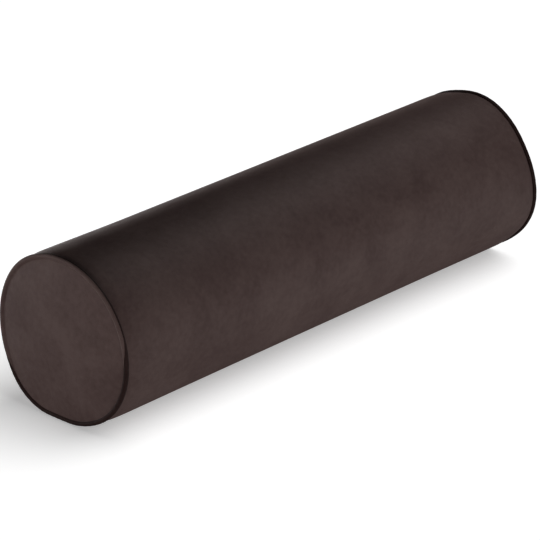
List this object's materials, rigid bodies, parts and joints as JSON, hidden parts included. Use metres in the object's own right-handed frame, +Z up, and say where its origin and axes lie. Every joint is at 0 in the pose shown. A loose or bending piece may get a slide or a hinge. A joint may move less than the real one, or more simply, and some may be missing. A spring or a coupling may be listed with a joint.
{
  "type": "bolster pillow",
  "caption": "Long round bolster with a foam roll inside a zipped velvet cover, piped round both crowned ends.",
  "frame": {"origin": "on the surface the roll rests on, under its middle", "axes": "+X along the roll, +Y to the side that holds the zip, +Z up"},
  "size_m": [0.722, 0.2036, 0.2009],
  "materials": {
    "velvet": "matte",
    "velvet_trim": "matte",
    "cotton_cord": "matte",
    "liner": "matte",
    "wadding": "matte",
    "foam": "matte",
    "zip_tape": "matte",
    "zip_coil": "satin",
    "nickel": "satin"
  },
  "bodies": {
    "pillow": {"cover_tube": "velvet", "cover_left_end": "velvet", "cover_right_end": "velvet", "left_piping_strip": "velvet_trim", "right_piping_strip": "velvet_trim", "left_piping_cord": "cotton_cord", "right_piping_cord": "cotton_cord", "liner_sleeve": "liner", "liner_left_end": "liner", "liner_right_end": "liner", "wadding_wrap": "wadding", "left_wadding_pad": "wadding", "right_wadding_pad": "wadding", "foam_core": "foam", "zip_tape_upper": "zip_tape", "zip_tape_lower": "zip_tape", "zip_coil_upper": "zip_coil", "zip_coil_lower": "zip_coil", "zip_top_stop_upper": "nickel", "zip_top_stop_lower": "nickel", "zip_bottom_stop": "nickel"},
    "slider": {"zip_slider": "nickel"},
    "pull": {"zip_pull": "nickel"}
  },
  "joints": [
    {"name": "zip_travel", "type": "slide", "parent": "pillow", "child": "slider", "axis": [-1, 0, 0], "range_m": [0, 0.548]},
    {"name": "pull_swing", "type": "hinge", "parent": "slider", "child": "pull", "pos_m": [0.274, 0.10022, 0.13014], "axis": [0, 0.2924, -0.9563], "range_deg": [0, 180]}
  ]
}
